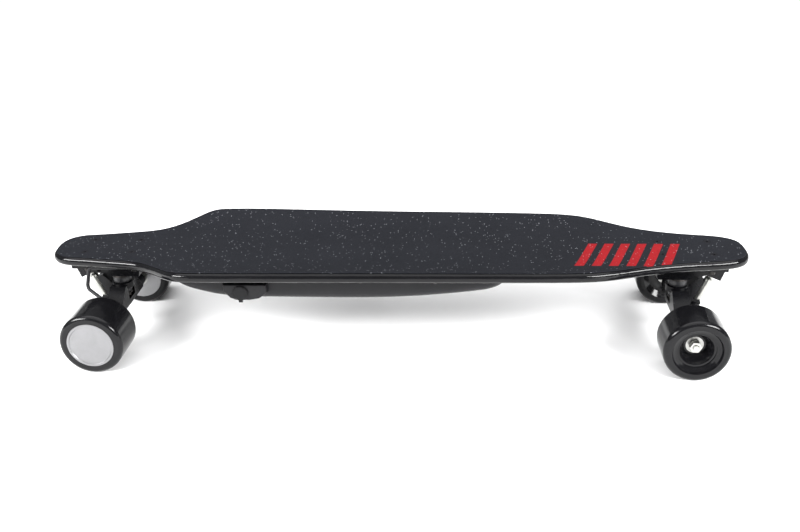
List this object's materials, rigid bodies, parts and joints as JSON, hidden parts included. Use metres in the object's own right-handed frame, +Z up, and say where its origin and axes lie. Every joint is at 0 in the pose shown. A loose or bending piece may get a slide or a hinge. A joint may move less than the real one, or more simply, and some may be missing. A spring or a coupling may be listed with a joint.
{
  "type": "electric skateboard",
  "caption": "Electric longboard skateboard: maple deck with grip, sprung steering trucks, plain front wheels, hub-motor rear wheels and an underslung battery tub.",
  "frame": {"origin": "on the ground midway between the axles, on the centre line", "axes": "+X to the nose (the plain front wheels), +Y to the rider's left, +Z up"},
  "size_m": [0.9281, 0.26, 0.1365],
  "materials": {
    "lacquered_maple": "black gloss lacquer over pressed maple",
    "grip": "coarse silicon-carbide grit",
    "black_steel": "black oxide",
    "zinc_steel": "bright zinc plate",
    "cast_black": "gloss black powder coat",
    "black_rubber": "matt",
    "pivot_plastic": "plain",
    "bushing_urethane": "satin",
    "wheel_urethane": "gloss",
    "core_plastic": "gloss",
    "bearing_steel": "ground",
    "satin_aluminium": "satin anodised",
    "can_steel": "plain",
    "magnet": "nickel plate",
    "stator_steel": "laminated",
    "copper": "enamelled wire",
    "tub_plastic": "satin",
    "cell_wrap": "shrink sleeve",
    "holder_plastic": "plain",
    "circuit_board": "solder mask",
    "plain_aluminium": "mill",
    "button_plastic": "gloss",
    "socket_plastic": "plain",
    "lead_jacket": "satin"
  },
  "bodies": {
    "deck_body": {"deck": "lacquered_maple", "grip_tape": "grip", "truck_bolts": "black_steel", "truck_nuts": "black_steel", "riser_pads": "black_rubber", "pivot_cups": "pivot_plastic", "kingpins": "black_steel", "kingpin_nuts": "black_steel", "kingpin_washers": "black_steel", "front_baseplate": "cast_black", "rear_baseplate": "cast_black", "front_bushings": "bushing_urethane", "rear_bushings": "bushing_urethane", "enclosure": "tub_plastic", "enclosure_screws": "black_steel", "battery_cells": "cell_wrap", "cell_holder": "holder_plastic", "battery_board": "circuit_board", "heat_spreader": "plain_aluminium", "motor_controller": "circuit_board", "charge_socket": "socket_plastic", "rear_left_motor_lead": "lead_jacket", "rear_right_motor_lead": "lead_jacket", "lead_clips": "socket_plastic"},
    "front_truck": {"front_hanger": "cast_black", "front_pivot_rod": "zinc_steel", "front_pivot_nut": "zinc_steel", "front_axle": "zinc_steel", "front_axle_collars": "zinc_steel", "front_axle_nuts": "zinc_steel"},
    "rear_truck": {"rear_hanger": "cast_black", "rear_pivot_rod": "zinc_steel", "rear_pivot_nut": "zinc_steel", "rear_left_stator": "stator_steel", "rear_left_windings": "copper", "rear_left_stub_axle": "zinc_steel", "rear_right_stator": "stator_steel", "rear_right_windings": "copper", "rear_right_stub_axle": "zinc_steel"},
    "front_left_wheel": {"front_left_tyre": "wheel_urethane", "front_left_core": "core_plastic", "front_left_bearings": "bearing_steel"},
    "rear_left_wheel": {"rear_left_tyre": "wheel_urethane", "rear_left_can": "can_steel", "rear_left_magnets": "magnet", "rear_left_cap": "satin_aluminium", "rear_left_cover": "satin_aluminium", "rear_left_bearings": "bearing_steel"},
    "front_right_wheel": {"front_right_tyre": "wheel_urethane", "front_right_core": "core_plastic", "front_right_bearings": "bearing_steel"},
    "rear_right_wheel": {"rear_right_tyre": "wheel_urethane", "rear_right_can": "can_steel", "rear_right_magnets": "magnet", "rear_right_cap": "satin_aluminium", "rear_right_cover": "satin_aluminium", "rear_right_bearings": "bearing_steel"},
    "power_button": {"power_button": "button_plastic"},
    "port_cap": {"port_cap": "black_rubber"}
  },
  "joints": [
    {"name": "front_steer", "type": "hinge", "parent": "deck_body", "child": "front_truck", "pos_m": [0.4242, 0, 0.091], "axis": [0.8904, 0, 0.4551], "range_deg": [-12, 12], "stiffness_Nm_per_rad": 120, "deforming": ["front_bushings"]},
    {"name": "rear_steer", "type": "hinge", "parent": "deck_body", "child": "rear_truck", "pos_m": [-0.4242, 0, 0.091], "axis": [-0.8904, 0, 0.4551], "range_deg": [-12, 12], "stiffness_Nm_per_rad": 120, "deforming": ["rear_bushings", "rear_left_motor_lead", "rear_right_motor_lead"]},
    {"name": "front_left_spin", "type": "hinge", "parent": "front_truck", "child": "front_left_wheel", "pos_m": [0.3822, 0, 0.0415], "axis": [0, 1, 0], "continuous": true},
    {"name": "front_right_spin", "type": "hinge", "parent": "front_truck", "child": "front_right_wheel", "pos_m": [0.3822, 0, 0.0415], "axis": [0, 1, 0], "continuous": true},
    {"name": "rear_left_spin", "type": "hinge", "parent": "rear_truck", "child": "rear_left_wheel", "pos_m": [-0.3822, 0, 0.0415], "axis": [0, 1, 0], "continuous": true},
    {"name": "rear_right_spin", "type": "hinge", "parent": "rear_truck", "child": "rear_right_wheel", "pos_m": [-0.3822, 0, 0.0415], "axis": [0, 1, 0], "continuous": true},
    {"name": "power_button_press", "type": "slide", "parent": "deck_body", "child": "power_button", "axis": [0, 0, 1], "range_m": [0, 0.0012], "stiffness_N_per_m": 600},
    {"name": "port_cap_lift", "type": "hinge", "parent": "deck_body", "child": "port_cap", "pos_m": [-0.1905, -0.0877, 0.1075], "axis": [-1, 0, 0], "range_deg": [0, 85]}
  ]
}
